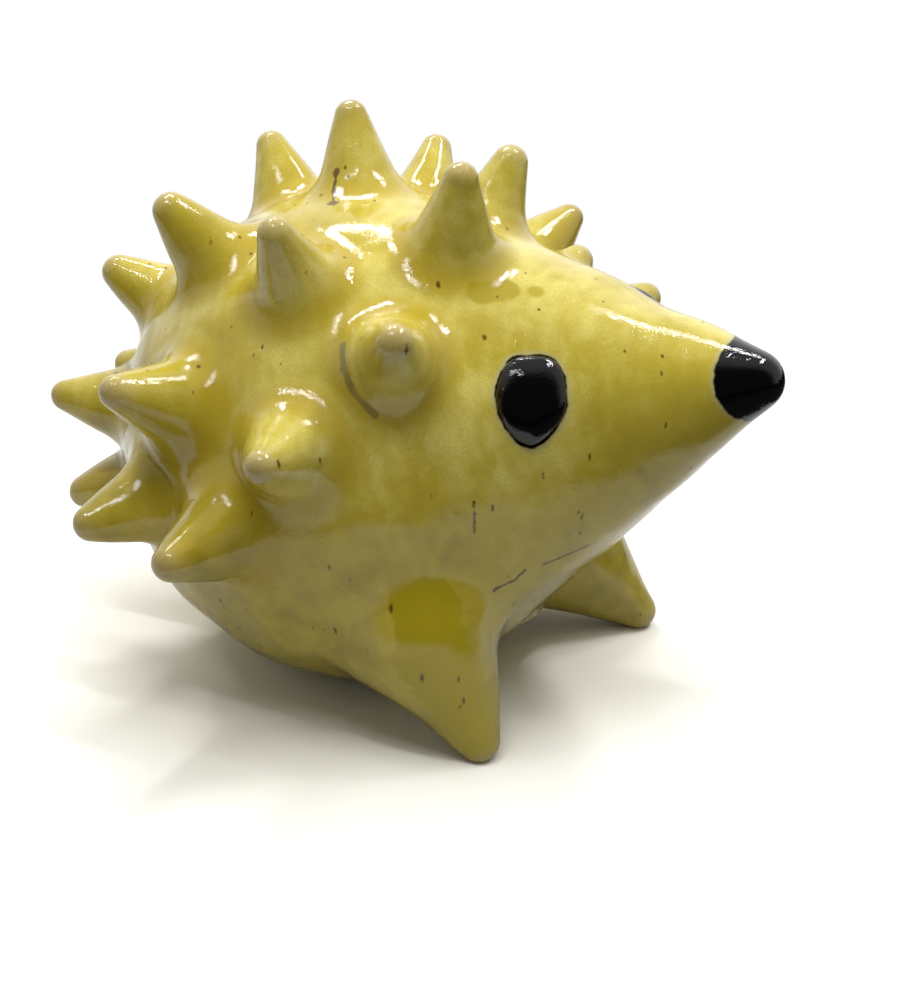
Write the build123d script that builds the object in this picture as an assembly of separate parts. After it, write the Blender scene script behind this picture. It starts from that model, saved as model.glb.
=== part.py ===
from build123d import *
import os
from math import acos, asin, cos, radians, sin, sqrt, tan

# Hedgehog figurine in glazed stoneware, millimetres.
# Front is -Y, up is +Z. The origin is the centre of the flat spot under the ball of the body,
# where the figurine rests on a table, so Z = 0 is the table.

# Body: one hollow thrown drop, a ball whose flank runs straight to a round snout.
ball_radius = 50.5
snout_radius = 5.9
snout_reach = 83.3
snout_lift_angle = 17.35
wall = 5.0
cavity_tip_radius = 10.0
rest_depth = 1.0
vent_diameter = 7.0
vent_forward = 22.0

# Nose: the black end of the snout, seated on a flat cut square to the snout.
nose_length = 9.8

# Spikes: rolled cones with a round tip and a hollow foot worked out onto the body.
spike_length = 18.0
spike_tip_radius = 3.4
spike_taper_angle = 20.0
spike_foot_margin = 1.6
spike_foot_radius = 6.0
spike_rim = 0.5

# Front legs: two stout cones, each from a root on the chest to its own foot on the table.
leg_station = 18.5
leg_turn_angle = 141.7
leg_tip_radius = 4.3
leg_taper_angle = 25.0
leg_foot_radius = 7.0
right_foot_spread = 31.2
right_foot_forward = 39.9
left_foot_spread = 34.7
left_foot_forward = 49.1
foot_flat_depth = 0.5

# Eyes: pellets with an egg outline, pressed on and rounded over. They sit a little unevenly.
# Stations from the ball centre are shares of the ball radius, as the spikes' are.
right_eye_station_share = 1.005
right_eye_turn_angle = 68.7
left_eye_station_share = 1.12
left_eye_turn_angle = 58.0
eye_lean_angle = 2.0
eye_broad_radius = 6.8
eye_point_radius = 3.4
eye_point_reach = 6.4
eye_height = 3.0
eye_round_share = 0.8

# Depth to which a pressed-on piece is drawn below the skin before the body is cut from it.
root_depth = 3.0

# Spike places, chosen by hand: station from the ball centre as a share of the ball radius,
# turn from the crown in degrees (right flank negative), length as a share of the spike length.
spike_place_shares = [
    (0.17, 8.0, 0.97),
    (-0.215, 15.0, 0.95),
    (-0.18, -26.0, 0.90),
    (-0.64, -16.0, 0.78),
    (0.205, 36.0, 0.91),
    (0.68, -16.0, 1.02),
    (0.65, 18.0, 0.84),
    (0.55, 57.5, 0.97),
    (0.82, 50.0, 0.33),
    (0.255, -37.5, 0.92),
    (0.605, -58.5, 0.98),
    (0.24, -77.5, 0.95),
    (-0.195, -62.5, 1.02),
    (-0.83, -46.5, 0.88),
    (-0.10, -90.5, 1.04),
    (-0.49, -84.5, 0.88),
    (-0.95, -85.0, 0.94),
    (-0.925, 6.0, 0.80),
    (0.80, 79.0, 1.00),
    (-0.17, 62.0, 1.00),
    (-0.12, 93.0, 1.02),
    (-0.49, 84.0, 0.88),
    (-0.80, 46.0, 0.88),
    (-0.94, 100.0, 0.92),
]

# Frame of the body: its long axis, the crown side and the left side.
ball_centre = Vector(0, 0, ball_radius - rest_depth)
lift = radians(snout_lift_angle)
forward = Vector(0, -cos(lift), sin(lift))
crown = Vector(0, sin(lift), cos(lift))
left = Vector(1, 0, 0)
body_plane = Plane(origin=ball_centre, x_dir=crown, z_dir=crown.cross(forward))
body_axis = Axis(ball_centre, forward)


def drop_face(broad_radius, point_radius, reach):
    """Half outline of a drop in the XY plane, its broad circle at the origin, its axis on Y."""
    lean = asin((broad_radius - point_radius) / reach)
    side = Vector(cos(lean), sin(lean))
    tail = Vector(0, -broad_radius)
    broad_mid_angle = (lean - radians(90)) / 2
    broad_mid = Vector(cos(broad_mid_angle), sin(broad_mid_angle)) * broad_radius
    point_centre = Vector(0, reach)
    point_mid_angle = (lean + radians(90)) / 2
    point_mid = point_centre + Vector(cos(point_mid_angle), sin(point_mid_angle)) * point_radius
    tip = Vector(0, reach + point_radius)
    broad_seam = side * broad_radius
    point_seam = point_centre + side * point_radius
    edges = [
        ThreePointArc(tail, broad_mid, broad_seam),
        Line(broad_seam, point_seam),
        ThreePointArc(point_seam, point_mid, tip),
        Line(tip, tail),
    ]
    return make_face(edges)


def body_drop(growth, tip_radius):
    """Solid drop of the body, grown by an even thickness.

    Its tip has its own radius and touches the flank, so a blunt tip ends further back.
    """
    broad_radius = ball_radius + growth
    narrowing = (ball_radius - snout_radius) / snout_reach
    reach = (broad_radius - tip_radius) / narrowing
    return revolve(body_plane * drop_face(broad_radius, tip_radius, reach), body_axis)


def skin_plane(station, turn_angle):
    """Plane on the body's skin: origin at the place, Z outwards, X towards the snout."""
    taper = asin((ball_radius - snout_radius) / snout_reach)
    seam_station = ball_radius * sin(taper)
    if station <= seam_station:
        ring_radius = sqrt(ball_radius**2 - station**2)
        slope = asin(station / ball_radius)
    else:
        ring_radius = ball_radius * cos(taper) - (station - seam_station) * tan(taper)
        slope = taper
    turn = radians(turn_angle)
    spoke = crown * cos(turn) + left * sin(turn)
    place = ball_centre + forward * station + spoke * ring_radius
    outward = forward * sin(slope) + spoke * cos(slope)
    towards_snout = forward * cos(slope) - spoke * sin(slope)
    return Plane(origin=place, x_dir=towards_snout, z_dir=outward)


def clay_cone(length):
    """Spike on the Z axis, standing on a ball of the body's radius that touches the XY plane.

    A round tip runs into a straight flank. Near the skin a hollow arc, tangent to the flank,
    carries it out by the foot margin, and ends a rim's thickness above the ball.
    """
    taper = radians(spike_taper_angle)
    slope = tan(taper)
    tip_centre = Vector(0, 0, length - spike_tip_radius)
    ball_bottom = Vector(0, 0, -ball_radius)
    edge_ring = ball_radius + spike_rim
    # The rim's edge is where the flank, moved out by the margin, meets the ring about the ball.
    offset = spike_tip_radius / cos(taper) + tip_centre.Z * slope + spike_foot_margin
    a = 1 + slope**2
    b = 2 * (ball_radius - offset * slope)
    c = offset**2 + ball_radius**2 - edge_ring**2
    rim_height = (-b + sqrt(b**2 - 4 * a * c)) / (2 * a)
    rim_edge = Vector(offset - rim_height * slope, 0, rim_height)
    # The arc touches the flank and passes through the rim's edge.
    turn = acos(1 - spike_foot_margin * cos(taper) / spike_foot_radius)
    flank_side = Vector(cos(taper), 0, sin(taper))
    arc_centre = rim_edge + Vector(cos(taper + turn), 0, sin(taper + turn)) * spike_foot_radius
    flank_foot = arc_centre - flank_side * spike_foot_radius
    arc_mid_side = Vector(cos(taper + turn / 2), 0, sin(taper + turn / 2))
    arc_mid = arc_centre - arc_mid_side * spike_foot_radius
    root_edge = ball_bottom + (rim_edge - ball_bottom).normalized() * (ball_radius - root_depth)
    flank_top = tip_centre + flank_side * spike_tip_radius
    tip = Vector(0, 0, length)
    tip_mid = tip_centre + (flank_side + Vector(0, 0, 1)).normalized() * spike_tip_radius
    root = Vector(0, 0, root_edge.Z)
    edges = [
        ThreePointArc(tip, tip_mid, flank_top),
        Line(flank_top, flank_foot),
        ThreePointArc(flank_foot, arc_mid, rim_edge),
        Line(rim_edge, root_edge),
        Line(root_edge, root),
        Line(root, tip),
    ]
    return revolve(make_face(edges), Axis.Z)


def table_block():
    """Everything below the table, to cut the resting faces."""
    size = 2 * (snout_reach + ball_radius)
    return Pos(0, 0, -size / 2) * Box(size, size, size)


def body_shell():
    """Hollow body with its nose seat, resting spot and vent hole."""
    shell = outer_drop - body_drop(-wall, cavity_tip_radius) - nose_block - table_block()
    vent = Pos(0, -vent_forward, ball_centre.Z / 2) * Cylinder(vent_diameter / 2, ball_centre.Z)
    return shell - vent


def nose_cutter():
    """Block ahead of the nose seat, square to the snout."""
    seat_station = snout_reach + snout_radius - nose_length
    block_plane = Plane(
        origin=ball_centre + forward * seat_station, x_dir=left, z_dir=forward
    )
    width = 2 * ball_radius
    return block_plane * (Pos(0, 0, nose_length) * Box(width, width, 2 * nose_length))


def spike(place, length_share, earlier):
    """One spike, square to the skin, cut to seat on it and against the spikes set before it."""
    cone = place * clay_cone(spike_length * length_share) - outer_drop
    reach = cone.bounding_box()
    for other in earlier:
        if reach.overlaps(other.bounding_box()):
            cone = cone - other
    return cone


def front_leg(side, foot_spread, foot_forward):
    """One front leg, from its root on the chest to its foot. Side is -1 for right.

    The cone is filleted to the body while the two are one solid, and then parted from it, so
    its root runs out onto the skin all round.
    """
    root = skin_plane(leg_station, side * leg_turn_angle).origin
    foot = Vector(side * foot_spread, -foot_forward, leg_tip_radius - foot_flat_depth)
    run = foot - root
    along = run.normalized()
    start = root - along * (wall + root_depth)
    reach = (foot - start).length
    root_radius = leg_tip_radius + reach * sin(radians(leg_taper_angle))
    cross = left.cross(along).normalized()
    leg_plane = Plane(origin=start, x_dir=cross, z_dir=cross.cross(along))
    cone = revolve(leg_plane * drop_face(root_radius, leg_tip_radius, reach), Axis(start, along))
    joined = outer_drop + cone
    joint = new_edges(outer_drop, cone, combined=joined)
    return fillet(joint, leg_foot_radius) - outer_drop - table_block()


def eye(side, station_share, turn_angle):
    """One eye pellet of even thickness on the skin. Side is -1 for right."""
    cushion = body_drop(eye_height, snout_radius + eye_height)
    half = drop_face(eye_broad_radius, eye_point_radius, eye_point_reach)
    outline = half + mirror(half, Plane.YZ)
    depth = eye_height + root_depth
    prism = Pos(0, 0, -root_depth) * extrude(outline, 2 * depth)
    place = skin_plane(station_share * ball_radius, side * turn_angle)
    point_angle = 90 - side * (90 - eye_lean_angle)
    placed = place * (Rot(0, 0, point_angle) * prism)
    pellet = placed & cushion
    brow_edges = pellet.faces().sort_by(Axis(place.origin, place.z_dir))[-1].edges()
    pellet = fillet(brow_edges, eye_round_share * eye_height)
    return pellet - outer_drop


def write(name, shape):
    """Write one node, and say how many solids it holds."""
    solids = shape.solids()
    export_step(Compound(children=list(solids)) if len(solids) > 1 else solids[0], f"parts/{name}.step")
    print(name, len(solids), round(shape.volume, 1))


os.makedirs("parts", exist_ok=True)
outer_drop = body_drop(0, snout_radius)
nose_block = nose_cutter()

write("body_shell", body_shell())
write("nose_tip", outer_drop & nose_block)
write("right_eye", eye(-1, right_eye_station_share, right_eye_turn_angle))
write("left_eye", eye(1, left_eye_station_share, left_eye_turn_angle))
write("right_front_leg", front_leg(-1, right_foot_spread, right_foot_forward))
write("left_front_leg", front_leg(1, left_foot_spread, left_foot_forward))
spikes = []
for station_share, turn_angle, length_share in spike_place_shares:
    place = skin_plane(station_share * ball_radius, turn_angle)
    spikes.append(spike(place, length_share, spikes))
    write(f"spike_{len(spikes):02d}", spikes[-1])
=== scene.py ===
"""Hedgehog figurine in glazed stoneware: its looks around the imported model, in metres."""

import functools
import logging
import math
from dataclasses import dataclass, field
from enum import Enum, IntEnum
from typing import Any

import bpy
import numpy as np
from mathutils import Matrix, Vector


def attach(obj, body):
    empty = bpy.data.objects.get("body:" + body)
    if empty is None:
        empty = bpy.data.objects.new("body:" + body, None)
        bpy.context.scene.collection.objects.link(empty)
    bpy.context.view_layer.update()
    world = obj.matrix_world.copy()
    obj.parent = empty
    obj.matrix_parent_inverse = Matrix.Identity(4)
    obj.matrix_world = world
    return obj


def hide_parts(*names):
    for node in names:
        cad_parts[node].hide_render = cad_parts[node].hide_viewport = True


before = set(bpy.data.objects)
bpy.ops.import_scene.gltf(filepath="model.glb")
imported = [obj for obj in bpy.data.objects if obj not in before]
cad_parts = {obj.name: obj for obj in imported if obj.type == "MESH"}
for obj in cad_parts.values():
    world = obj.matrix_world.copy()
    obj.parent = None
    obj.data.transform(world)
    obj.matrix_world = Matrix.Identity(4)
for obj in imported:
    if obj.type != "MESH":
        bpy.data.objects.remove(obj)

MM = 0.001
Array = np.ndarray
Triple = tuple[float, float, float]
Form = tuple[np.ndarray, list[tuple[int, ...]]]
LEVEL = np.array([1.0, 1.0, 0.0])  # leaves out the height
MOST_POINTS = 10**7  # more than any mesh here has
log = logging.getLogger("hedgehog")


class Side(Enum):
    """A side of the hedgehog, as the sign of its X."""

    RIGHT = -1
    LEFT = 1


class Slot(Enum):
    """The record's material slots."""

    YELLOW = "yellow_glaze"
    BLACK = "black_glaze"


class Claim(IntEnum):
    """A piece's number where the skin is shared out. The spikes count on from theirs."""

    BODY = 0
    VENT = 1
    NOSE = 2
    RIGHT_LEG = 3
    LEFT_LEG = 4
    SPIKES = 5


# Node trees


class Wire:
    """One output socket of a node tree. Arithmetic on it adds Math nodes."""

    def __init__(self, board: "Board", socket: bpy.types.NodeSocket) -> None:
        """Wrap one socket of one board."""
        self.board = board
        self.socket = socket

    def of(self, operation: str, *others: Any) -> "Wire":
        """Return a Math node's result on this and the others."""
        return self.board.math(operation, self, *others)

    def __rsub__(self, other: Any) -> "Wire":
        """Return other - self."""
        return self.board.math("SUBTRACT", other, self)

    # Each of these adds one Math node
    __add__ = __radd__ = functools.partialmethod(of, "ADD")
    __sub__ = functools.partialmethod(of, "SUBTRACT")
    __mul__ = __rmul__ = functools.partialmethod(of, "MULTIPLY")
    __truediv__ = functools.partialmethod(of, "DIVIDE")
    least = functools.partialmethod(of, "MINIMUM")
    most = functools.partialmethod(of, "MAXIMUM")
    above = functools.partialmethod(of, "GREATER_THAN")

    def root(self) -> "Wire":
        """Return the square root, of zero where the value is below it."""
        return self.most(0.0).of("SQRT")

    def rise(self, low: float, high: float) -> "Wire":
        """Return 0 to 1, smoothly, as the value goes from low to high, which may be below low."""
        inputs = {"Value": self, "From Min": low, "From Max": high}
        return self.board.node("ShaderNodeMapRange", inputs, interpolation_type="SMOOTHSTEP")


class Board:
    """A node tree that is built by calls."""

    def __init__(self, tree: bpy.types.NodeTree) -> None:
        """Start on a tree, which is emptied."""
        self.tree = tree
        tree.nodes.clear()

    @classmethod
    def on(cls, owner: Any) -> "Board":
        """Start on the nodes of a material or a world."""
        owner.use_nodes = True
        return cls(owner.node_tree)

    def add(self, kind: str, inputs: dict[Any, Any], **settings: Any) -> bpy.types.Node:
        """Add one node.

        Args:
            kind: The node's type name.
            inputs: A value or Wire for each socket, by name or place.
            settings: Its properties.

        Returns:
            The node.
        """
        node = self.tree.nodes.new(kind)
        for name, value in settings.items():
            setattr(node, name, value)
        for key, value in inputs.items():
            if isinstance(value, Wire):
                self.tree.links.new(value.socket, node.inputs[key])
            elif isinstance(value, tuple) and len(value) == 3 and node.inputs[key].type == "RGBA":
                node.inputs[key].default_value = (*value, 1.0)
            else:
                node.inputs[key].default_value = value
        return node

    def node(self, kind: str, inputs: dict[Any, Any], output: Any = 0, **settings: Any) -> Wire:
        """Add one node, as add does, and return one of its outputs, by name or place."""
        return Wire(self, self.add(kind, inputs, **settings).outputs[output])

    def parts(self, kind: str, source: Wire) -> list[Wire]:
        """Return the three parts of a vector or a colour."""
        return [Wire(self, output) for output in self.add(kind, {0: source}).outputs[:3]]

    def math(self, operation: str, *values: Any) -> Wire:
        """Return a Math node's result on these values."""
        return self.node("ShaderNodeMath", dict(enumerate(values)), operation=operation)

    def mix(self, first: Any, second: Any, share: Any) -> Wire:
        """Return a blend of two colours, all of the second where share is 1."""
        inputs = {0: share, 6: first, 7: second}
        return self.node("ShaderNodeMix", inputs, 2, data_type="RGBA", clamp_factor=True)

    def vector(self, operation: str, *values: Any) -> Wire:
        """Return a Vector Math node's result: a number for a length or a dot product, else a vector."""
        output = "Value" if operation in ("LENGTH", "DOT_PRODUCT") else "Vector"
        return self.node("ShaderNodeVectorMath", dict(enumerate(values)), output, operation=operation)

    def noise(self, place: Wire, size: float, detail: float = 2.0, bend: float = 0.0) -> Wire:
        """Return noise about 0.5, from its clouds' width in metres, its finer layers and its bend."""
        inputs = {"Vector": place, "Scale": 1 / size, "Detail": detail, "Distortion": bend}
        return self.node("ShaderNodeTexNoise", inputs)


def open_tree(name: str, sockets: dict[str, str]) -> tuple[Board, list[Wire]]:
    """Start a Geometry Nodes tree.

    Args:
        name: The tree's name.
        sockets: The kind of each of its named inputs.

    Returns:
        The tree's board, and its inputs in order.
    """
    tree = bpy.data.node_groups.new(name, "GeometryNodeTree")
    for label, kind in sockets.items():
        tree.interface.new_socket(label, in_out="INPUT", socket_type=f"NodeSocket{kind}")
    tree.interface.new_socket("Geometry", in_out="OUTPUT", socket_type="NodeSocketGeometry")
    board = Board(tree)
    entry = board.add("NodeGroupInput", {})
    return board, [Wire(board, entry.outputs[label]) for label in sockets]


def close_tree(board: Board, form: Wire, clay: Wire) -> bpy.types.NodeTree:
    """End a Geometry Nodes tree.

    Args:
        board: The tree's board.
        form: Its result so far.
        clay: The material that it sets.

    Returns:
        The finished tree.
    """
    form = board.node("GeometryNodeRealizeInstances", {"Geometry": form})
    form = board.node("GeometryNodeSetMaterial", {"Geometry": form, "Material": clay})
    board.add("NodeGroupOutput", {"Geometry": form})
    return board.tree


def run_tree(mesh: bpy.types.Mesh, tree: bpy.types.NodeTree, sizes: dict[str, Any]) -> Form:
    """Run a Geometry Nodes tree on a mesh.

    Args:
        mesh: What goes in.
        tree: The tree.
        sizes: A value for each of its named inputs.

    Returns:
        The result's points and faces.
    """
    form = stand(mesh.name, mesh)
    modifier = form.modifiers.new("rule", "NODES")
    modifier.node_group = tree
    sockets = {item.name: item.identifier for item in tree.interface.items_tree if item.in_out == "INPUT"}
    for name, value in sizes.items():
        modifier[sockets[name]] = value
    return plain_copy(form)


def stand(name: str, data: Any) -> bpy.types.Object:
    """Put a new object with this data into the scene."""
    form = bpy.data.objects.new(name, data)
    bpy.context.scene.collection.objects.link(form)
    return form


def plain_copy(form: bpy.types.Object) -> Form:
    """Take an object's evaluated mesh, and remove the object.

    Args:
        form: The object, with its modifiers live.

    Returns:
        The mesh's points and faces.
    """
    graph = bpy.context.evaluated_depsgraph_get()
    graph.update()
    mesh = bpy.data.meshes.new_from_object(form.evaluated_get(graph))
    result = places_of(mesh), [tuple(face.vertices) for face in mesh.polygons]
    bpy.data.meshes.remove(mesh)
    bpy.data.objects.remove(form)
    return result


def places_of(mesh: bpy.types.Mesh) -> Array:
    """Return the places of a mesh's points, as rows."""
    flat = np.zeros(len(mesh.vertices) * 3, np.float32)
    mesh.vertices.foreach_get("co", flat)
    return flat.reshape(-1, 3).astype(float)


# The rule of the clay's shape


def lengths(vectors: Array) -> Array:
    """Return each row's length, never zero."""
    return np.maximum(np.sqrt((vectors * vectors).sum(1)), 1e-12)


@dataclass(frozen=True)
class Field:
    """Distances to a surface with their directions, at some points."""

    value: Array
    slope: Array

    def grown(self, margin: float) -> "Field":
        """Return the same for the surface moved outwards by a margin."""
        return Field(self.value - margin, self.slope)

    def worked_into(self, other: "Field", width: float) -> "Field":
        """Join two forms with a worked hollow fillet.

        Args:
            other: The other form's distances at the same points.
            width: The distance from the joint over which they blend.

        Returns:
            The joined form.
        """
        share = np.clip(0.5 + 0.5 * (other.value - self.value) / width, 0, 1)
        value = other.value + share * (self.value - other.value) - width * share * (1 - share)
        slope = other.slope + share[:, None] * (self.slope - other.slope)
        return Field(value, slope)

    def cut_by(self, other: "Field", width: float) -> "Field":
        """Keep what lies in both forms, with a rounded edge of this width."""
        turned = Field(-self.value, -self.slope).worked_into(Field(-other.value, -other.slope), width)
        return Field(-turned.value, -turned.slope)


@dataclass(frozen=True)
class RoundCone:
    """A cone between two balls: the rule behind the body, the spikes and the legs."""

    broad: Array
    axis: Array
    broad_radius: float
    point_radius: float
    reach: float

    def distance(self, points: Array) -> Field:
        """Measure to the cone's skin.

        Args:
            points: Rows of places.

        Returns:
            Each distance, negative inside, and its direction.
        """
        sine = (self.broad_radius - self.point_radius) / self.reach
        cosine = math.sqrt(1 - sine * sine)
        offset = points - self.broad
        along = offset @ self.axis
        across = offset - along[:, None] * self.axis
        away = lengths(across)
        across = across / away[:, None]
        run = along * cosine - away * sine
        beyond = offset - self.reach * self.axis
        near, far = lengths(offset), lengths(beyond)
        at_ball = run < 0
        at_point = run > self.reach * cosine
        flank = away * cosine + along * sine - self.broad_radius
        value = np.where(at_point, far - self.point_radius, flank)
        value = np.where(at_ball, near - self.broad_radius, value)
        slope = np.where(at_point[:, None], beyond / far[:, None], across * cosine + self.axis * sine)
        return Field(value, np.where(at_ball[:, None], offset / near[:, None], slope))


@dataclass
class ThrownBody:
    """The thrown drop: a ball whose flank runs straight to a round snout."""

    ball_radius: float = 50.5 * MM
    snout_radius: float = 5.9 * MM
    snout_reach: float = 83.3 * MM
    lift: float = math.radians(17.35)
    rest_depth: float = 1.0 * MM
    nose_length: float = 9.8 * MM
    vent_radius: float = 3.5 * MM
    vent_forward: float = 22.0 * MM
    wall: float = 5.0 * MM

    def __post_init__(self) -> None:
        """Work out the body's own frame."""
        self.centre = np.array([0, 0, self.ball_radius - self.rest_depth])
        self.forward = np.array([0, -math.cos(self.lift), math.sin(self.lift)])
        self.crown = np.array([0, math.sin(self.lift), math.cos(self.lift)])
        self.left = np.array([1.0, 0, 0])
        self.taper = math.asin((self.ball_radius - self.snout_radius) / self.snout_reach)
        self.seat = self.snout_reach + self.snout_radius - self.nose_length
        self.cone = RoundCone(
            self.centre, self.forward, self.ball_radius, self.snout_radius, self.snout_reach)

    def station(self, points: Array) -> Array:
        """Return how far ahead of the ball's centre each point lies."""
        return (points - self.centre) @ self.forward

    def place(self, station: float, turn: float) -> tuple[Array, Array, Array]:
        """Find a place on the straight skin.

        Args:
            station: The distance ahead of the ball's centre.
            turn: The angle from the crown, in degrees, left positive.

        Returns:
            The place, the direction outwards and the direction towards the snout.
        """
        seam = self.ball_radius * math.sin(self.taper)
        if station <= seam:
            ring, lean = math.sqrt(self.ball_radius**2 - station**2), math.asin(station / self.ball_radius)
        else:
            ring = self.ball_radius * math.cos(self.taper) - (station - seam) * math.tan(self.taper)
            lean = self.taper
        angle = math.radians(turn)
        spoke = self.crown * math.cos(angle) + self.left * math.sin(angle)
        outward = self.forward * math.sin(lean) + spoke * math.cos(lean)
        ahead = self.forward * math.cos(lean) - spoke * math.sin(lean)
        return self.centre + self.forward * station + spoke * ring, outward, ahead


@dataclass
class SpikeSet:
    """The rolled spikes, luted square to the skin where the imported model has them."""

    body: ThrownBody
    count: int = 24
    tip_radius: float = 3.4 * MM
    taper: float = math.radians(20)
    depth: float = 26 * MM
    fillet: float = 5.0 * MM
    margin: float = 2.0 * MM
    lean: float = 0.045
    rough_share: float = 0.8
    seed: int = 7

    def __post_init__(self) -> None:
        """Read each spike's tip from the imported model, and lean it a little."""
        chance = np.random.default_rng(self.seed)
        self.names = [f"spike_{number + 1:02d}" for number in range(self.count)]
        self.cones: list[RoundCone] = []
        root_radius = self.tip_radius + self.depth * math.sin(self.taper)
        for name in self.names:
            points = places_of(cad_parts[name].data)
            over = self.body.cone.distance(points)
            top = int(over.value.argmax())
            axis = over.slope[top] + self.lean * chance.uniform(-1, 1, 3)
            axis /= np.linalg.norm(axis)
            broad = points[top] - axis * (self.depth + self.tip_radius)
            self.cones.append(RoundCone(broad, axis, root_radius, self.tip_radius, self.depth))

    def tree(self) -> bpy.types.NodeTree:
        """Build the tree that sets a rough rolled cone on every point.

        Returns:
            The node tree, with named inputs for its sizes.
        """
        board, (points, tip, root, depth, clay) = open_tree("rolled_spikes", {
            "Points": "Geometry", "Tip Radius": "Float", "Root Radius": "Float", "Depth": "Float",
            "Clay": "Material"})
        cone = board.node("GeometryNodeMeshCone", {
            "Vertices": 40, "Radius Top": tip, "Radius Bottom": root, "Depth": depth})
        shift = board.node("ShaderNodeCombineXYZ", {"Z": 0.0 - depth})
        cone = board.node("GeometryNodeTransform", {"Geometry": cone, "Translation": shift})
        ball = board.node("GeometryNodeMeshIcoSphere", {"Radius": tip, "Subdivisions": 3})
        blank = board.node("GeometryNodeJoinGeometry", {0: cone})
        board.tree.links.new(ball.socket, blank.socket.node.inputs[0])
        aim = board.node("GeometryNodeInputNamedAttribute", {"Name": "aim"}, data_type="FLOAT_VECTOR")
        turn = board.node("FunctionNodeAlignRotationToVector", {"Vector": aim}, axis="Z")
        row = board.node("GeometryNodeInstanceOnPoints", {
            "Points": points, "Instance": blank, "Rotation": turn})
        return close_tree(board, row, clay)

    def blank(self, clay: bpy.types.Material) -> Form:
        """Make all rough cones as one plain mesh.

        Args:
            clay: The material that the tree sets.

        Returns:
            Its points and faces.
        """
        mesh = bpy.data.meshes.new("spike_points")
        mesh.from_pydata([tuple(cone.broad + cone.axis * cone.reach) for cone in self.cones], [], [])
        aim = mesh.attributes.new("aim", "FLOAT_VECTOR", "POINT")
        aim.data.foreach_set("vector", np.array([cone.axis for cone in self.cones], np.float32).ravel())
        depth = self.depth * self.rough_share
        root = self.tip_radius + depth * math.tan(self.taper)
        sizes = {"Tip Radius": self.tip_radius, "Root Radius": root, "Depth": depth, "Clay": clay}
        return run_tree(mesh, self.tree(), sizes)


@dataclass
class FrontLegs:
    """Two stout cones from the chest to the table."""

    body: ThrownBody
    station: float = 18.5 * MM
    turn: float = 141.7
    foot_radius: float = 4.3 * MM
    taper: float = math.radians(25)
    fillet: float = 6.5 * MM
    margin: float = 2.0 * MM
    root_depth: float = 8.0 * MM
    foot_sink: float = 0.5 * MM
    feet: tuple[tuple[Side, float, float], ...] = (
        (Side.RIGHT, 31.2 * MM, 39.9 * MM), (Side.LEFT, 34.7 * MM, 49.1 * MM))

    def __post_init__(self) -> None:
        """Lead each leg's cone from the chest to its foot, which stands so far out and so far ahead."""
        self.cones: list[RoundCone] = []
        for side, out, ahead in self.feet:
            root, _, _ = self.body.place(self.station, side.value * self.turn)
            foot = np.array([side.value * out, -ahead, self.foot_radius - self.foot_sink])
            along = (foot - root) / np.linalg.norm(foot - root)
            start = root - along * self.root_depth
            reach = float(np.linalg.norm(foot - start))
            broad_radius = self.foot_radius + reach * math.sin(self.taper)
            self.cones.append(RoundCone(start, along, broad_radius, self.foot_radius, reach))


@dataclass
class Lumps:
    """The slow unevenness that hands leave in clay: a few fixed waves added together."""

    height: float = 0.11 * MM
    shortest: float = 11 * MM
    longest: float = 38 * MM
    count: int = 14
    fall: float = 0.7
    seed: int = 21

    def __post_init__(self) -> None:
        """Choose the waves."""
        chance = np.random.default_rng(self.seed)
        aims = chance.normal(size=(self.count, 3))
        aims /= lengths(aims)[:, None]
        spans = np.geomspace(self.shortest, self.longest, self.count)
        self.waves = aims * (2 * math.pi / spans)[:, None]
        self.starts = chance.uniform(0, 2 * math.pi, self.count)
        self.heights = self.height * (spans / self.longest) ** self.fall

    def distance(self, points: Array) -> Field:
        """Return the height of the lumps and its slope at each point."""
        phase = points @ self.waves.T + self.starts
        return Field(np.sin(phase) @ self.heights, (np.cos(phase) * self.heights) @ self.waves)


@dataclass
class Skin:
    """The figurine's whole outer skin, under its glaze, as one rule."""

    body: ThrownBody
    spikes: SpikeSet
    legs: FrontLegs
    lumps: Lumps = field(default_factory=Lumps)
    flat_edge: float = 0.5 * MM
    near_share: float = 0.6
    near_margin: float = 16 * MM

    def distance(self, points: Array) -> Field:
        """Measure to the skin.

        Args:
            points: Rows of places.

        Returns:
            The distances and their directions.
        """
        whole = self.body.cone.distance(points)
        value, slope = whole.value, whole.slope
        for kind in (self.spikes, self.legs):
            for cone in kind.cones:
                middle = cone.broad + cone.axis * cone.reach * self.near_share
                near = lengths(points - middle) < cone.reach * self.near_share + self.near_margin
                part = Field(value[near], slope[near]).worked_into(cone.distance(points[near]), kind.fillet)
                value[near], slope[near] = part.value, part.slope
        bumps = self.lumps.distance(points)
        whole = Field(value - bumps.value, slope - bumps.slope)
        down = np.tile(np.array([0.0, 0, -1]), (len(points), 1))
        return whole.cut_by(Field(-points[:, 2], down), self.flat_edge)

    def settle(self, points: Array, rounds: int) -> tuple[Array, Array]:
        """Move points onto the skin.

        Args:
            points: Rows of places near the skin.
            rounds: How many steps are taken.

        Returns:
            The places on the skin, and the direction outwards at each.
        """
        for _ in range(rounds):
            there = self.distance(points)
            steep = (there.slope**2).sum(1)
            points = points - there.slope * (there.value / steep)[:, None]
        slope = self.distance(points).slope
        return points, slope / lengths(slope)[:, None]


# The skin as one mesh, parted into the real pieces


def sides_of(quads: Array) -> Array:
    """Return the sides of the quads, as rows of two points: all first sides, all second ones and so on."""
    return np.concatenate([quads[:, [corner, (corner + 1) % 4]] for corner in range(4)])


def side_keys(sides: Array) -> Array:
    """Return one number for each side, made from its two points in their order."""
    return sides[:, 0] * MOST_POINTS + sides[:, 1]


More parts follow.
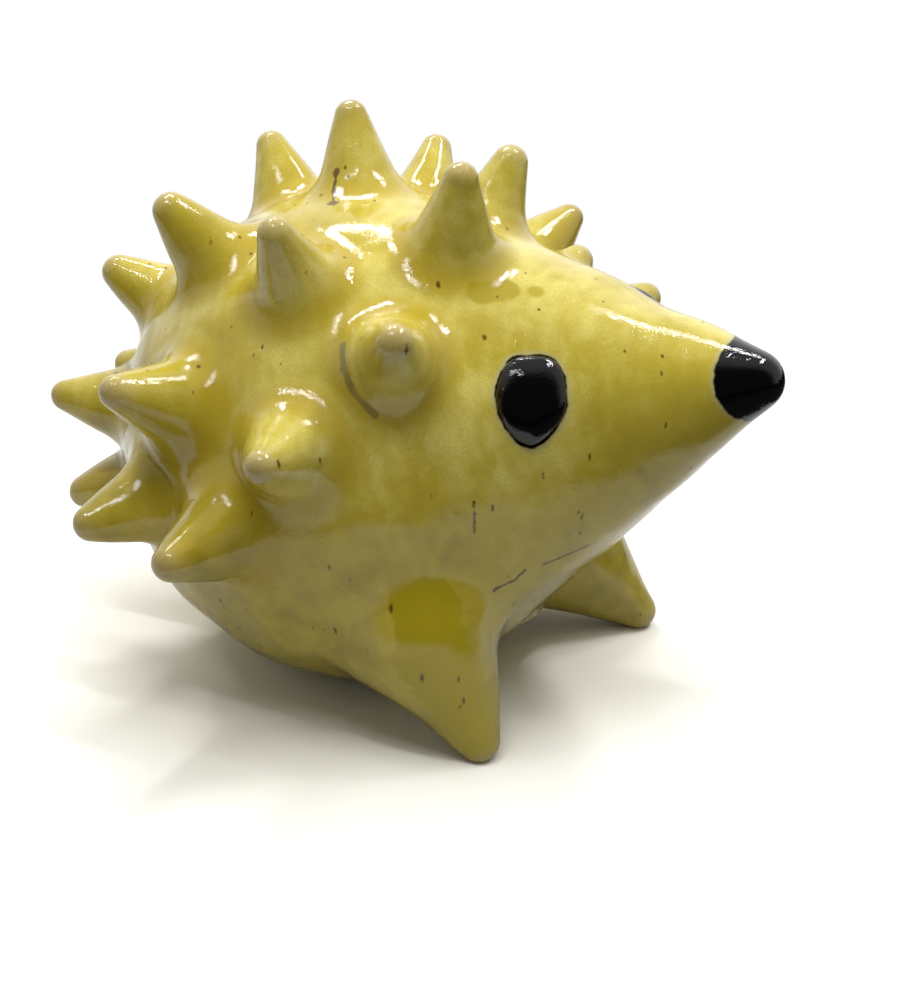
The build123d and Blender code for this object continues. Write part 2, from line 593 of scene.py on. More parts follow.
def rim_of(quads: Array) -> Array:
    """Return the sides that have a face on one hand only."""
    sides = sides_of(quads)
    sides = sides[sides[:, 0] != sides[:, 1]]
    return sides[~np.isin(side_keys(sides), side_keys(sides[:, ::-1]))]


def gathered(goals: Array, rows: Array, count: int) -> Array:
    """Add up rows of three numbers by the number of the point that each one goes to."""
    return np.stack([np.bincount(goals, rows[:, axis], count) for axis in range(3)], 1)


def facing(points: Array, faces: Array) -> Array:
    """Return the mean direction of the faces about each point. A triangle's last point stands twice."""
    across = np.cross(points[faces[:, 2]] - points[faces[:, 0]], points[faces[:, 3]] - points[faces[:, 1]])
    total = gathered(faces.ravel(), np.repeat(across, 4, axis=0), len(points))
    return total / lengths(total)[:, None]


@dataclass
class Patch:
    """A stretch of the skin, or a whole closed piece."""

    points: Array
    outward: Array
    faces: Array

    def closed(self, loop: Array, rings: list[Array], end: Array) -> "Patch":
        """Lead one rim inwards over rings, and close it at a point.

        Args:
            loop: The rim's sides, as rows of two points.
            rings: Where the rim's corners lie on each ring.
            end: The place that closes it.

        Returns:
            The patch with that rim closed.
        """
        last, sides = np.unique(loop, return_inverse=True)
        first, second = sides.reshape(-1, 2).T
        points, faces = self.points, []
        for ring in rings:
            here = len(points) + np.arange(len(ring))
            points = np.concatenate([points, ring])
            faces.append(np.stack([last[second], last[first], here[first], here[second]], 1))
            last = here
        heart = np.full(len(loop), len(points))
        points = np.concatenate([points, end[None]])
        faces.append(np.stack([last[second], last[first], heart, heart], 1))
        outward = facing(points, np.concatenate(faces))
        outward[:len(self.points)] = self.outward
        return Patch(points, outward, np.concatenate([self.faces, *faces]))


@dataclass
class ClayModel:
    """The skin as a fine mesh, shared out among the pieces.

    A seat is how far a piece's edge is drawn under the skin. The vent's rings are shares of its radius
    with heights in millimetres: above its rim for the mouth, above the wall's top for the hollow.
    """

    skin: Skin
    cell: float = 0.8 * MM
    relax_rounds: int = 3
    edge_rounds: int = 5
    least_slope: float = 0.05
    most_step: float = 0.4
    body_seat: float = 1.6 * MM
    seat: float = 1.3 * MM
    belly_top: float = 15 * MM
    mouth: tuple[tuple[float, float], ...] = ((0.93, 0.35), (0.88, 1.0))
    hollow: tuple[tuple[float, float], ...] = ((0.88, 0.0), (1.05, 0.7), (2.4, 1.6), (5.0, 8.0), (5.0, 24.0))
    hollow_end: float = 30 * MM

    def drop_tree(self) -> bpy.types.NodeTree:
        """Build the tree whose rule throws the drop: a sheet rolled round the long axis.

        Returns:
            The node tree, with named inputs for its sizes.
        """
        board, (_, ball, snout, reach, clay) = open_tree("thrown_drop", {
            "Geometry": "Geometry", "Ball Radius": "Float", "Snout Radius": "Float", "Reach": "Float",
            "Clay": "Material"})
        sheet = board.node("GeometryNodeMeshGrid", {
            "Size X": 1.0, "Size Y": 1.0, "Vertices X": 121, "Vertices Y": 181})
        spot = board.parts("ShaderNodeSeparateXYZ", board.node("GeometryNodeInputPosition", {}))
        turn = spot[0] * (2 * math.pi)
        share = spot[1] + 0.5
        whole = ball + reach + snout
        station = (1.0 - (share * math.pi).of("COSINE")) * 0.5 * whole - ball
        sine = (ball - snout) / reach
        cosine = (1.0 - sine * sine).root()
        seam = ball * sine
        flank = ball * cosine - (station - seam) * (sine / cosine)
        at_ball = (ball * ball - station * station).root()
        ahead = station - reach
        at_snout = (snout * snout - ahead * ahead).root()
        first = station.above(seam)
        last = ahead.above(snout * sine)
        radius = at_ball * (1.0 - first) + flank * first * (1.0 - last) + at_snout * last
        place = board.node("ShaderNodeCombineXYZ", {
            "X": radius * turn.of("SINE"), "Y": radius * turn.of("COSINE"), "Z": station})
        form = board.node("GeometryNodeSetPosition", {"Geometry": sheet, "Position": place})
        form = board.node("GeometryNodeMergeByDistance", {"Geometry": form, "Distance": 0.02 * MM})
        return close_tree(board, form, clay)

    def blank(self, clay: bpy.types.Material) -> Form:
        """Join the rough drop, spikes and legs, and rework them into one even mesh.

        Args:
            clay: The material that the trees set.

        Returns:
            The mesh's points and faces.
        """
        forms = [self.rough_form(self.skin.body.cone, clay), self.skin.spikes.blank(clay)]
        forms += [self.rough_form(cone, clay) for cone in self.skin.legs.cones]
        points, faces = np.zeros((0, 3)), []
        for form, form_faces in forms:
            faces += [tuple(len(points) + corner for corner in face) for face in form_faces]
            points = np.concatenate([points, form])
        mesh = bpy.data.meshes.new("clay")
        mesh.from_pydata(points.tolist(), [], faces)
        lump = stand("clay", mesh)
        modifier = lump.modifiers.new("rework", "REMESH")
        modifier.mode = "VOXEL"
        modifier.voxel_size = self.cell
        modifier.adaptivity = 0.0
        return plain_copy(lump)

    def rough_form(self, cone: RoundCone, clay: bpy.types.Material) -> Form:
        """Throw a rough round cone about its own axis.

        Args:
            cone: Its rule.
            clay: The material that the tree sets.

        Returns:
            Its points and faces.
        """
        side = np.cross(cone.axis, [0, 0, -1.0])
        side /= np.linalg.norm(side)
        sizes = {"Ball Radius": cone.broad_radius, "Snout Radius": cone.point_radius, "Reach": cone.reach,
                 "Clay": clay}
        points, faces = run_tree(bpy.data.meshes.new("thrown_drop"), self.drop_tree(), sizes)
        return cone.broad + points @ np.array([side, np.cross(cone.axis, side), cone.axis]), faces

    def build(self, clay: bpy.types.Material) -> None:
        """Make the fine mesh on the skin and share it out.

        Args:
            clay: The material for the rough forms.
        """
        points, faces = self.blank(clay)
        self.quads = np.array([face if len(face) == 4 else (*face, face[-1]) for face in faces])
        points, _ = self.skin.settle(points, rounds=6)
        edges = sides_of(self.quads)
        edges = np.concatenate([edges, edges[:, ::-1]])
        edges = edges[edges[:, 0] != edges[:, 1]]
        counts = np.bincount(edges[:, 0], minlength=len(points))[:, None]
        for _ in range(self.relax_rounds):
            middles = gathered(edges[:, 0], points[edges[:, 1]], len(points)) / counts
            points, _ = self.skin.settle((points + middles) / 2, rounds=2)
        self.points = points
        self.share_out()

    def claims(self, points: Array) -> list[Field]:
        """Measure how far each point lies outside each piece's own stretch of skin.

        Args:
            points: Rows of places on the skin.

        Returns:
            A field for each piece but the body: the vent, the nose, both legs and the spikes.
        """
        body = self.skin.body
        spread = (points - np.array([0, -body.vent_forward, 0])) * LEVEL
        away = lengths(spread)
        high = np.where(points[:, 2] > self.belly_top, 1.0, 0.0)
        fields = [Field(away - body.vent_radius + high, spread / away[:, None])]
        ahead = np.tile(-body.forward, (len(points), 1))
        fields.append(Field(body.seat - body.station(points), ahead))
        for kind in (self.skin.legs, self.skin.spikes):
            fields += [cone.distance(points).grown(kind.margin) for cone in kind.cones]
        return fields

    def share_out(self) -> None:
        """Give each face to a piece, and draw the pieces' edges onto smooth lines."""
        values = np.stack([claim.value for claim in self.claims(self.points[self.quads].mean(1))])
        owner = np.where(values.min(0) < 0, values.argmin(0) + 1, int(Claim.BODY))
        highest = np.zeros(len(self.points), int)
        lowest = np.full(len(self.points), len(values))
        for corners in self.quads.T:
            np.maximum.at(highest, corners, owner)
            np.minimum.at(lowest, corners, owner)
        edge = np.nonzero(highest != lowest)[0]
        high, low, rows = highest[edge], lowest[edge], np.arange(len(edge))
        places = self.points[edge]
        for _ in range(self.edge_rounds):
            fields = [Field(np.zeros(len(edge)), np.zeros((len(edge), 3))), *self.claims(places)]
            values = np.stack([claim.value for claim in fields])
            slopes = np.stack([claim.slope for claim in fields])
            value = values[high, rows] - values[low, rows]
            slope = slopes[high, rows] - slopes[low, rows]
            outward = self.skin.distance(places).slope
            outward /= lengths(outward)[:, None]
            slope -= (slope * outward).sum(1)[:, None] * outward
            step = -slope * (value / np.maximum((slope**2).sum(1), self.least_slope))[:, None]
            step *= np.minimum(1, self.most_step * self.cell / lengths(step))[:, None]
            places, _ = self.skin.settle(places + step, rounds=2)
        self.points[edge] = places
        self.points, self.outward = self.skin.settle(self.points, rounds=1)
        self.owner = owner
        keys = side_keys(sides_of(self.quads))
        order = np.argsort(keys)
        self.keys = keys[order]
        self.key_owner = np.tile(owner, 4)[order]

    def piece(self, number: int) -> Patch:
        """Take one piece's stretch of skin and close it behind.

        Args:
            number: The piece's number in the claims.

        Returns:
            The closed piece.
        """
        mine = self.quads[self.owner == number]
        rim = rim_of(mine)
        across = self.key_owner[np.searchsorted(self.keys, side_keys(rim[:, ::-1]))]
        used, faces = np.unique(mine, return_inverse=True)
        where = np.full(len(self.points), -1)
        where[used] = np.arange(len(used))
        patch = Patch(self.points[used], self.outward[used], faces.reshape(-1, 4))
        depth = self.body_seat if number == Claim.BODY else self.seat
        for other in np.unique(across):
            loop = where[rim[across == other]]
            corners = np.unique(loop)
            if other == Claim.VENT:
                rings, end = self.throat(patch.points[corners])
            else:
                rings = [patch.points[corners] - patch.outward[corners] * depth]
                end = rings[0].mean(0) - patch.outward[corners].mean(0) * depth / 2
            patch = patch.closed(loop, rings, end)
        return patch

    def throat(self, rim: Array) -> tuple[list[Array], Array]:
        """Find the rings that lead the vent through the wall into the hollow.

        Args:
            rim: The places of the vent's rim.

        Returns:
            The places on each ring, and the place that closes the last.
        """
        body = self.skin.body
        centre = np.array([0, -body.vent_forward, 0])
        spread = (rim - centre) * LEVEL
        spokes = spread / lengths(spread)[:, None]
        wall_top = np.full(len(rim), rim[:, 2].mean() + body.wall)
        rings = []
        for base, shape in ((rim[:, 2], self.mouth), (wall_top, self.hollow)):
            for share, rise in shape:
                ring = centre + spokes * body.vent_radius * share
                ring[:, 2] = base + rise * MM
                rings.append(ring)
        return rings, centre + np.array([0, 0, wall_top[0] + self.hollow_end])


# Finishes


class Tint(Enum):
    """What a mark painted into the glaze's colour is: iron specks and streaks, painted shade, and pooled
    glaze together with painted dark reflection.
    """

    IRON = "iron"
    SHADE = "shade"
    POOL = "pool"


# How much a mark's edge frays, and how soft it is: a share of its radius, and at most this in mm
FRAY = {Tint.IRON: 2.4, Tint.SHADE: 0.9, Tint.POOL: 0.9}
SOFT_SHARE = 0.35
MOST_SOFT = 0.5


@dataclass(frozen=True)
class Mark:
    """A mark painted into the glaze's colour: a line through a few places, or a spot at one. Places are in
    millimetres. Some marks are iron, one is painted shade, and some are pooled glaze with painted dark
    reflection.
    """

    name: str
    tint: Tint
    radius: float
    places: tuple[Triple, ...]

    def mask(self, board: Board, place: Wire, ragged: Wire) -> Wire:
        """Return the mark's mask.

        Args:
            board: The material's tree.
            place: The coordinates.
            ragged: Noise about 0 that frays its edge.

        Returns:
            1 on the mark, 0 off it.
        """
        spots = [Vector(spot) * MM for spot in self.places]
        reaches = []
        for first, second in zip(spots, spots[1:] or spots):
            offset = board.vector("SUBTRACT", place, tuple(first))
            run = second - first
            if run.length > 0:
                share = board.vector("DOT_PRODUCT", offset, tuple(run / run.length_squared))
                scaled = {0: tuple(run), "Scale": share.most(0.0).least(1.0)}
                drawn = board.node("ShaderNodeVectorMath", scaled, operation="SCALE")
                offset = board.vector("SUBTRACT", offset, drawn)
            reaches.append(board.vector("LENGTH", offset))
        size = self.radius * MM
        soft = min(SOFT_SHARE * self.radius, MOST_SOFT) * MM
        nearest = functools.reduce(Wire.least, reaches)
        nearest.socket.node.label = self.name
        return (nearest + ragged * (FRAY[self.tint] * size)).rise(size + soft, size - soft)


@dataclass(frozen=True)
class Glaze:
    """A glossy yellow stoneware glaze with black painted over it, worn thin on the tips.

    Its colours come first, then the widths of its clouds, grains and pits, and its relief. Its colour also
    holds painted light: tops paler with height, a painted shade arc, and patches of painted dark reflection.
    """

    name: str
    straw: Triple = (0.64, 0.55, 0.135)
    yellow: Triple = (0.46, 0.36, 0.035)
    olive: Triple = (0.32, 0.25, 0.025)
    amber: Triple = (0.40, 0.275, 0.010)
    # deep colours the patches of pooled glaze and painted dark reflection on the near leg, brow and temple
    deep: Triple = (0.36, 0.28, 0.003)
    thin: Triple = (0.40, 0.31, 0.15)
    umber: Triple = (0.08, 0.038, 0.003)
    # shade colours the painted shade: a dark arc by the foot of a spike
    shade: Triple = (0.16, 0.13, 0.06)
    black: Triple = (0.0015, 0.0015, 0.002)
    halo: Triple = (0.42, 0.41, 0.27)
    bare: Triple = (0.52, 0.42, 0.30)
    wide_cloud: float = 26 * MM
    cloud: float = 7 * MM
    grain: float = 0.5 * MM
    iron_fray: float = 1.3 * MM
    paint_fray: float = 2.2 * MM
    pit: float = 0.9 * MM
    dimple: float = 2.4 * MM
    ripple: float = 0.4 * MM
    relief: float = 0.22 * MM
    bump: float = 0.55
    bending: float = 1.52
    ring_pace: float = 2.1
    dip_line: float = 36.5
    speck_turn: Triple = (0.3, 0.2, 0.5)
    speck_draw: Triple = (1.0, 1.0, 0.4)
    speck_kinds: tuple[Triple, ...] = ((6 * MM, 0.065, 0.25), (4 * MM, 0.07, 0.3))
    marks: tuple[Mark, ...] = (
        Mark("drip_head", Tint.IRON, 0.75, ((0.0, 7.1, 103.6),)),
        Mark("drip_line", Tint.IRON, 0.4, ((0.0, 7.1, 103.6), (-2.4, 6.2, 101.0), (-6.5, 4.2, 99.2))),
        Mark("drip_foot", Tint.IRON, 1.15, ((-6.5, 4.2, 99.2),)),
        # painted shade: a dark arc along the shaded left side of the spike that points at the camera
        Mark("crescent_painted_shade", Tint.SHADE, 0.75, (
            (-38.0, -14.5, 82.5), (-40.5, -16.3, 78.7), (-41.5, -18.2, 75.9), (-41.1, -22.5, 71.8))),
        Mark("neck_streak", Tint.IRON, 0.35, ((-34.5, -39.1, 55.5), (-34.0, -39.0, 49.5))),
        Mark("chest_streak", Tint.IRON, 0.4, (
            (-28.4, -41.1, 35.4), (-25.3, -43.9, 36.7), (-24.9, -45.6, 39.0))),
        Mark("crease_streak", Tint.IRON, 0.3, ((-22.0, -48.3, 39.5), (-15.0, -54.8, 41.9))),
        # pooled glaze and painted dark reflection: deeper, saturated patches where the glaze mirrors dark
        # surroundings
        Mark("leg_pool_and_dark_reflection", Tint.POOL, 7.0, ((-40.0, -32.0, 34.0), (-41.4, -33.9, 25.1), (-33.5, -43.1, 5.9))),
        Mark("brow_pool_and_dark_reflection", Tint.POOL, 2.6, ((-17.0, -32.0, 88.8), (-13.8, -35.4, 89.2))),
        Mark("temple_pool_and_dark_reflection", Tint.POOL, 1.7, ((-11.0, -40.5, 88.8),)),
    )

    def build(self) -> bpy.types.Material:
        """Build the material.

        Returns:
            The material, which reads Object coordinates and the pieces' attributes.
        """
        material = bpy.data.materials.new(self.name)
        board = Board.on(material)
        place = board.node("ShaderNodeTexCoord", {}, "Object")
        height = board.parts("ShaderNodeSeparateXYZ", place)[2] / MM
        names = ("peak", "pool", "paint", "buried", "station")
        peak, pool, paint, buried, station = (
            board.node("ShaderNodeAttribute", {}, "Fac", attribute_name=name) for name in names)
        station, paint = station / MM, paint / MM
        wide = board.noise(place, self.wide_cloud, detail=3.0, bend=0.4)
        cloud = board.noise(place, self.cloud, detail=4.0, bend=0.6)
        grain = board.noise(place, self.grain, detail=3.0)
        ragged = cloud - 0.5
        rings = (station * self.ring_pace + cloud * 4.0).of("SINE")
        behind = (station + ragged * 3.0).rise(self.dip_line + 0.9, self.dip_line - 0.9)
        # tone rises with height, so the tops are paler and more straw: painted top light, together with
        # thinner glaze on the tops
        tone = wide.rise(0.3, 0.7) * 0.45 + cloud.rise(0.25, 0.75) * 0.35 + height.rise(18, 88) * 0.45
        tone = tone + rings * 0.03 - behind * 0.10
        frayed = board.noise(place, self.iron_fray) - 0.5
        iron = self.specks(board, place, grain).most(self.traces(board, place, frayed, Tint.IRON))
        black = (paint + (board.noise(place, self.paint_fray) - 0.5)).rise(-0.22, 0.22)
        bare = (height + (grain - 0.5) * 0.5).rise(0.45, 0.15).most(buried.rise(0.3, 0.7))
        colour: Any = self.olive
        for tint, share in (
            (self.yellow, tone.rise(0.1, 0.6)),
            (self.straw, tone.rise(0.55, 1.15)),
            (self.amber, (pool + ragged * 0.9 - 0.1).rise(0.2, 1.1) * 0.7),
            # deep patches: pooled glaze together with painted dark reflection
            (self.deep, self.traces(board, place, ragged, Tint.POOL) * 0.8),
            (self.thin, (peak + ragged * 0.6).rise(0.35, 1.1) * 0.8),
            (self.olive, grain.rise(0.62, 0.38) * 0.2),
            # painted shade: the dark arc by a spike's foot
            (self.shade, self.traces(board, place, ragged, Tint.SHADE) * 0.65),
            (self.umber, iron * 0.88),
            (self.halo, (paint + ragged * 0.8).rise(-1.1, -0.2) * 0.4),
            (self.black, black),
            (self.bare, bare),
        ):
            colour = board.mix(colour, tint, share)
        rough = 0.03 + (grain - 0.5) * 0.03 + peak.rise(0.6, 1.0) * 0.08
        rough = rough * (1.0 - black * 0.4) + bare * 0.6
        pits = board.noise(place, self.pit, detail=1.0).rise(0.30, 0.22)
        relief = board.noise(place, self.dimple) * 0.5 + rings * 0.05 - pits * 0.12 + iron * 0.06
        relief = relief + board.noise(place, self.ripple, detail=1.0) * 0.3
        bump = board.node("ShaderNodeBump", {
            "Strength": self.bump, "Distance": self.relief, "Height": relief})
        shader = board.node("ShaderNodeBsdfPrincipled", {
            "Base Color": colour, "Roughness": rough, "Normal": bump, "IOR": self.bending})
        board.add("ShaderNodeOutputMaterial", {"Surface": shader})
        return material

    def traces(self, board: Board, place: Wire, ragged: Wire, tint: Tint) -> Wire:
        """Return the joined mask of all marks of one tint, frayed by noise about 0."""
        masks = [mark.mask(board, place, ragged) for mark in self.marks if mark.tint is tint]
        return functools.reduce(Wire.most, masks)

    def specks(self, board: Board, place: Wire, grain: Wire) -> Wire:
        """Scatter iron specks and short dashes.

        Args:
            board: The material's tree.
            place: The coordinates.
            grain: Fine noise that frays their edges.

        Returns:
            The specks' mask.
        """
        drawn = board.node("ShaderNodeMapping", {
            "Vector": place, "Rotation": self.speck_turn, "Scale": self.speck_draw})
        masks = []
        for size, spot, share in self.speck_kinds:
            cell = board.add("ShaderNodeTexVoronoi", {"Vector": drawn, "Scale": 1 / size})
            chance = board.parts("ShaderNodeSeparateColor", Wire(board, cell.outputs["Color"]))[0]
            away = Wire(board, cell.outputs["Distance"]) + (grain - 0.5) * 0.1
            masks.append(away.rise(spot * 1.5, spot * 0.6) * chance.above(share))
        return functools.reduce(Wire.most, masks)


# Pieces


@dataclass
class Workshop:
    """Turns patches into finished pieces of the scene."""

    skin: Skin
    glazes: dict[Slot, bpy.types.Material]
    eyes: list["EyePellet"]
    eye_bleed: float = 0.2 * MM
    paint_start: float = 79.2 * MM
    paint_swing: float = 2.2 * MM
    chin_gap: float = 1.2 * MM
    cheek_turn: float = math.radians(78)
    peak_start: float = 1 * MM
    peak_run: float = 9 * MM
    buried_depth: float = 0.25 * MM

    def finish(self, name: str, patch: Patch, slot: Slot, paint: Array | None = None) -> None:
        """Make a piece's object, with its attributes, hang it under the root, and hide the imported part
        that it stands for.

        Args:
            name: The CAD node that the piece stands for.
            patch: Its closed mesh.
            slot: The record's slot of its finish.
            paint: How far inside the black paint each point lies, where it isn't the body's own rule.
        """
        mesh = bpy.data.meshes.new(name)
        corners = [tuple(dict.fromkeys(face)) for face in patch.faces.tolist()]
        mesh.from_pydata(patch.points.tolist(), [], corners, shade_flat=False)
        values = self.marks(patch.points)
        if paint is not None:
            values["paint"] = paint
        for label, numbers in values.items():
            layer = mesh.attributes.new(label, "FLOAT", "POINT")
            layer.data.foreach_set("value", numbers.astype(np.float32))
        mesh.materials.append(self.glazes[slot])
        mesh.normals_split_custom_set_from_vertices(patch.outward.tolist())
        piece = stand(f"glazed_{name}", mesh)
        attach(piece, "root")
        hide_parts(name)
        log.info("%s: %d faces", piece.name, len(mesh.polygons))

    def marks(self, points: Array) -> dict[str, Array]:
        """Work out what the glaze does at each point.

        Args:
            points: Rows of places.

        Returns:
            The attributes by name.
        """
        skin = self.skin
        flank = skin.body.cone.distance(points).value
        station = skin.body.station(points)
        peak, pool = np.zeros((2, len(points)))
        for cone in [*skin.spikes.cones, *skin.legs.cones]:
            back = lengths(points - cone.broad - cone.axis * (cone.reach + cone.point_radius))
            peak = np.maximum(peak, 1 - np.clip((back - self.peak_start) / self.peak_run, 0, 1))
        for cone in skin.spikes.cones:
            share = np.clip(0.5 + 0.5 * (cone.distance(points).value - flank) / skin.spikes.fillet, 0, 1)
            pool = np.maximum(pool, 4 * share * (1 - share))
        paint = station - self.paint_line(points)
        for eye in self.eyes:
            paint = np.maximum(paint, eye.inside(points) + self.eye_bleed)
        buried = skin.distance(points).value < -self.buried_depth
        return {"peak": peak, "pool": pool, "paint": paint, "buried": buried, "station": station}

    def paint_line(self, points: Array) -> Array:
        """Find the station at which the nose's black paint starts, which reaches back on each cheek.

        Args:
            points: Rows of places.

        Returns:
            The station at each point's turn about the snout.
        """
        body = self.skin.body
        offset = points - body.centre
        turn = np.arctan2(np.abs(offset @ body.left), offset @ body.crown)
        line = self.paint_start + self.paint_swing * np.sin(turn - self.cheek_turn) ** 2
        return line + self.chin_gap * np.maximum(0, -np.cos(turn))


@dataclass
class EyePellet:
    """A pellet pressed onto the head, rounded over, with an egg outline."""

    skin: Skin
    side: Side
    station: float
    turn: float
    height: float = 2.7 * MM
    fullness: float = 2.15
    rings: int = 34
    turns: int = 120
    down_size: float = 9.4 * MM
    up_size: float = 7.3 * MM
    front_size: float = 6.9 * MM
    back_size: float = 5.9 * MM
    low_front: float = 1.45
    low_back: float = 1.9
    high_front: float = 3.6
    high_back: float = 1.5
    press: float = 0.15 * MM
    root: float = 1.2 * MM
    heart: float = 1.6 * MM
    paint_depth: float = 3 * MM
    paint_reach: float = 12 * MM

    def __post_init__(self) -> None:
        """Lay the pellet's own directions on the head."""
        turn = self.side.value * self.turn
        self.centre, self.outward, self.ahead = self.skin.body.place(self.station, turn)
        self.down = np.cross(self.outward, self.ahead) * self.side.value

    def outline(self, angles: Array) -> Array:
        """Return the egg outline's radius at each angle from its low point, forward positive.

        Args:
            angles: Angles in radians.

        Returns:
            The radii.
        """
        fall, lead = np.cos(angles), np.sin(angles)
        tall = np.where(fall > 0, self.down_size, self.up_size)
        wide = np.where(lead > 0, self.front_size, self.back_size)
        low, front = (1 + fall) / 2, (1 + lead) / 2
        power = low * (front * self.low_front + (1 - front) * self.low_back)
        power += (1 - low) * (front * self.high_front + (1 - front) * self.high_back)
        return ((np.abs(fall) / tall) ** power + (np.abs(lead) / wide) ** power) ** (-1 / power)

    def inside(self, points: Array) -> Array:
        """Return how far inside the pellet's outline each point lies, seen square to the head."""
        offset = points - self.centre
        fall, lead = offset @ self.down, offset @ self.ahead
        depth = self.outline(np.arctan2(lead, fall)) - np.hypot(fall, lead)
        return np.where(np.abs(offset @ self.outward) < self.paint_reach, depth, -1.0)

    def build(self) -> tuple[Patch, Array]:
        """Make the closed pellet.

        Returns:
            Its mesh, and how far inside the black paint each point lies.
        """
        angles = np.arange(self.turns) * 2 * math.pi / self.turns
        spokes = np.cos(angles)[:, None] * self.down + np.sin(angles)[:, None] * self.ahead
        spokes *= self.outline(angles)[:, None]
        shares = np.linspace(0, 1, self.rings + 1)[1:] * math.pi / 2
        swell, fall = np.sin(shares) ** (2 / self.fullness), np.cos(shares) ** (2 / self.fullness)
        flat = self.centre + np.concatenate([np.zeros((1, 3)), *(spokes * size for size in swell)])
        rise = self.height * np.concatenate([[1.0], np.repeat(fall, self.turns)])
        base, outwards = self.skin.settle(flat, rounds=5)
        top = base + outwards * (rise - self.press)[:, None]
        here = np.arange(self.turns)
        after = (here + 1) % self.turns
        cap = np.stack([0 * here, 1 + here, 1 + after, 1 + after], 1)
        band = 1 + np.stack([here, self.turns + here, self.turns + after, after], 1)
        quads = np.concatenate([cap, *(band + ring * self.turns for ring in range(self.rings - 1))])
        if facing(top, quads)[0] @ self.outward < 0:
            quads = quads[:, ::-1]
        sunk = top[-self.turns:] - outwards[-self.turns:] * self.root
        patch = Patch(top, facing(top, quads), quads)
        patch = patch.closed(rim_of(quads), [sunk], self.centre - self.outward * self.heart)
        return patch, np.full(len(patch.points), self.paint_depth)


# Studio


@dataclass(frozen=True)
class Lamp:
    """One lamp: its middle, the way it lies, its sizes, how bright its face is, and what it is aimed at."""

    name: str
    place: Triple
    along: Triple
    length: float
    level: float
    width: float = 0.022
    mirrored: bool = True
    aim: Triple = (0, 0, 0.05)

    def hang(self) -> None:
        """Hang the lamp, aimed at the figurine."""
        data = bpy.data.lights.new(self.name, "AREA")
        data.shape = "RECTANGLE"
        data.size, data.size_y = self.width, self.length
        data.energy = self.level * math.pi * self.length * self.width
        along, place = Vector(self.along), Vector(self.place)
        offset = place - Vector(self.aim)
        back = (offset - along * offset.dot(along)).normalized()
        turn = Matrix((along.cross(back), along, back)).transposed()
        lamp = stand(self.name, data)
        lamp.matrix_world = Matrix.Translation(place) @ turn.to_4x4()
        lamp.visible_glossy = self.mirrored


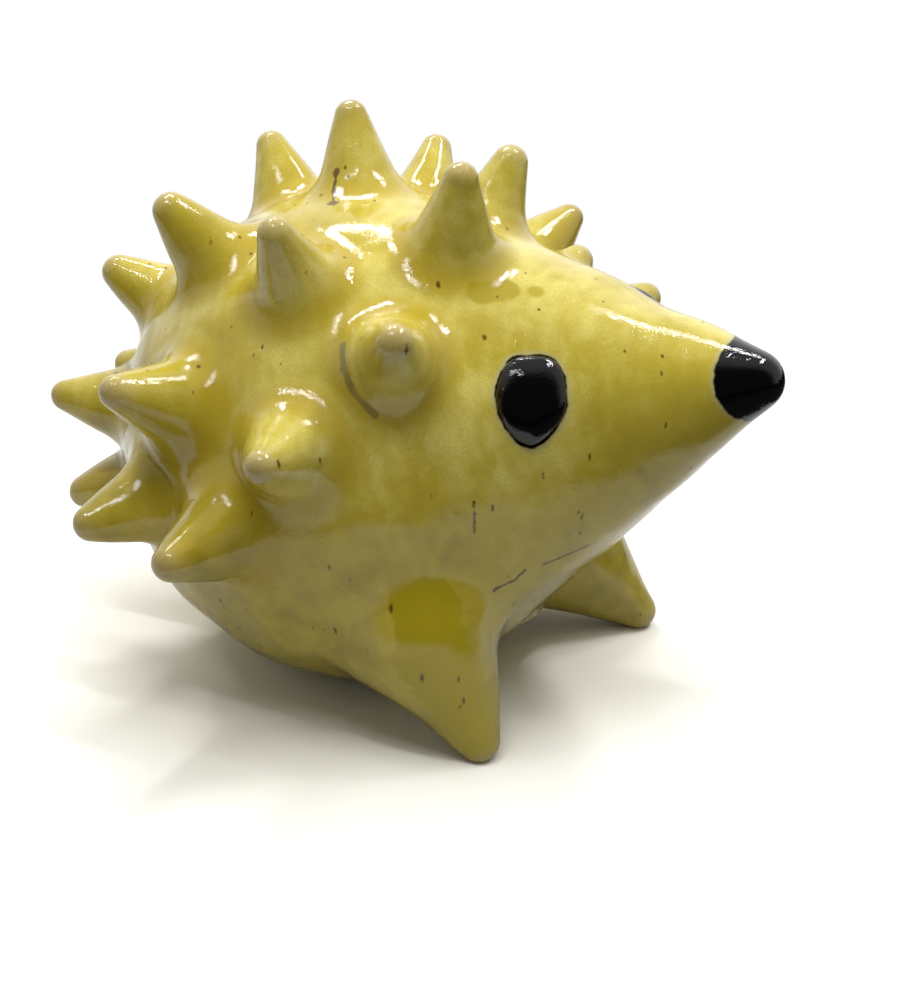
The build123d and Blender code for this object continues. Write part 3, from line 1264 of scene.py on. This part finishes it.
@dataclass
class Studio:
    """The pale floor, the soft light and the camera."""

    eye: Triple = (-0.29027, -0.15138, 0.1795)
    ahead: Triple = (0.83312, 0.37695, -0.40474)
    across: Triple = (0.41784, -0.90841, 0.01404)
    lens: float = 60.85
    sensor: float = 36.0
    strip_level: float = 78.0
    box_level: float = 3.0
    board_front: float = -0.16
    board_side: float = -0.125
    soft_level: float = 0.19
    back_level: float = 0.3
    room_low: float = 0.03
    room_side: float = 0.57
    room_back: float = 0.6
    lit_reach: float = 0.26
    floor_size: float = 3.0
    board_glow: float = 0.6
    board_seen: Triple = (1.05, 1.035, 0.965)
    board_mirrored: Triple = (0.66, 0.66, 0.66)
    room_mirrored: Triple = (0.04, 0.038, 0.035)
    white: Triple = (1.0, 1.0, 1.0)

    def camera(self) -> None:
        """Stand the camera where the photograph was taken."""
        data = bpy.data.cameras.new("camera")
        data.sensor_fit = "VERTICAL"
        data.sensor_height = self.sensor
        data.lens = self.lens
        data.clip_start = 0.01
        camera = bpy.context.scene.camera = stand("camera", data)
        across, ahead = Vector(self.across), Vector(self.ahead)
        turn = Matrix((across, across.cross(ahead), -ahead)).transposed()
        camera.matrix_world = Matrix.Translation(self.eye) @ turn.to_4x4()

    def lights(self) -> None:
        """Hang the broken frame of strips that the glaze mirrors, and a soft box for the even light."""
        bright = self.strip_level
        for lamp in (
            Lamp("near_strip", (-0.25, 0.09, 0.62), (0, 1, 0), 0.38, bright * 0.75, 0.014),
            Lamp("far_short_strip", (0.31, -0.155, 0.62), (0, 1, 0), 0.09, bright),
            Lamp("far_long_strip", (0.30, 0.22, 0.62), (0, 1, 0), 0.22, bright),
            Lamp("front_strip", (0.20, -0.27, 0.62), (1, 0, 0), 0.20, bright),
            Lamp("back_strip", (0.12, 0.33, 0.62), (1, 0, 0), 0.24, bright * 0.7),
            Lamp("soft_box", (-0.12, -0.20, 0.72), (0, 1, 0), 0.6, self.box_level, 0.6, False),
        ):
            lamp.hang()

    def floor(self) -> None:
        """Lay the pale floor, which the glaze mirrors as a lit board in a dark room."""
        mesh = bpy.data.meshes.new("floor")
        size = self.floor_size
        corners = [(-size, -size, 0), (size, -size, 0), (size, size, 0), (-size, size, 0)]
        mesh.from_pydata(corners, [], [(0, 1, 2, 3)])
        material = bpy.data.materials.new("pale_board")
        board = Board.on(material)
        camera = board.node("ShaderNodeLightPath", {}, "Is Camera Ray")
        place = board.node("ShaderNodeTexCoord", {}, "Object")
        side, front, _ = board.parts("ShaderNodeSeparateXYZ", place)
        on_board = side.above(self.board_front) * front.above(self.board_side)
        shade = board.mix(self.room_mirrored, self.board_mirrored, on_board)
        shade = board.mix(shade, self.board_seen, camera)
        matt = board.node("ShaderNodeBsdfDiffuse", {"Color": shade})
        away = board.vector("LENGTH", place)
        white = board.node("ShaderNodeEmission", {
            "Color": self.white, "Strength": camera + (1.0 - camera) * on_board * self.board_glow})
        seen = away.rise(self.lit_reach * 0.6, self.lit_reach) * camera
        unseen = away.rise(self.lit_reach, self.lit_reach * 2.5) * (1.0 - camera)
        both = board.node("ShaderNodeMixShader", {0: seen + unseen, 1: matt, 2: white})
        board.add("ShaderNodeOutputMaterial", {"Surface": both})
        mesh.materials.append(material)
        stand("floor", mesh)

    def world(self) -> None:
        """Set the surroundings: white behind the figurine, dimmer on the side of the open room."""
        world = bpy.context.scene.world = bpy.data.worlds.new("surroundings")
        board = Board.on(world)
        camera = board.node("ShaderNodeLightPath", {}, "Is Camera Ray")
        mirrored = board.node("ShaderNodeLightPath", {}, "Is Glossy Ray")
        aim = board.node("ShaderNodeTexCoord", {}, "Generated")
        room = board.vector("DOT_PRODUCT", aim, (-self.ahead[0], -self.ahead[1], 0.0))
        level = self.room_low + (1.0 - room.rise(0.15, 0.5)) * self.room_side
        level = level + room.rise(-0.2, -0.8) * self.room_back
        soft = self.soft_level + room.rise(0.1, -0.7) * self.back_level
        strength = camera + (1.0 - camera) * (level * mirrored + (1.0 - mirrored) * soft)
        back = board.node("ShaderNodeBackground", {"Color": self.white, "Strength": strength})
        board.add("ShaderNodeOutputWorld", {"Surface": back})

    def build(self) -> None:
        """Set up the whole studio."""
        self.camera()
        self.lights()
        self.floor()
        self.world()
        bpy.context.scene.view_settings.view_transform = "Standard"


def main() -> None:
    """Build every piece in order."""
    logging.basicConfig(level=logging.INFO, format="%(message)s")
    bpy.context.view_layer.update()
    Studio().build()
    body = ThrownBody()
    skin = Skin(body, SpikeSet(body), FrontLegs(body))
    eyes = {"right_eye": EyePellet(skin, Side.RIGHT, station=1.005 * body.ball_radius, turn=68.7),
            "left_eye": EyePellet(skin, Side.LEFT, station=1.12 * body.ball_radius, turn=58.0)}
    glazes = {slot: Glaze(slot.value).build() for slot in Slot}
    workshop = Workshop(skin, glazes, list(eyes.values()))
    model = ClayModel(skin)
    model.build(glazes[Slot.YELLOW])
    owners = {"body_shell": Claim.BODY, "nose_tip": Claim.NOSE, "right_front_leg": Claim.RIGHT_LEG,
              "left_front_leg": Claim.LEFT_LEG}
    owners |= {name: Claim.SPIKES + number for number, name in enumerate(skin.spikes.names)}
    for name, number in owners.items():
        workshop.finish(name, model.piece(number), Slot.BLACK if name == "nose_tip" else Slot.YELLOW)
    for name, eye in eyes.items():
        patch, paint = eye.build()
        workshop.finish(name, patch, Slot.BLACK, paint)


if __name__ == "__main__":
    main()
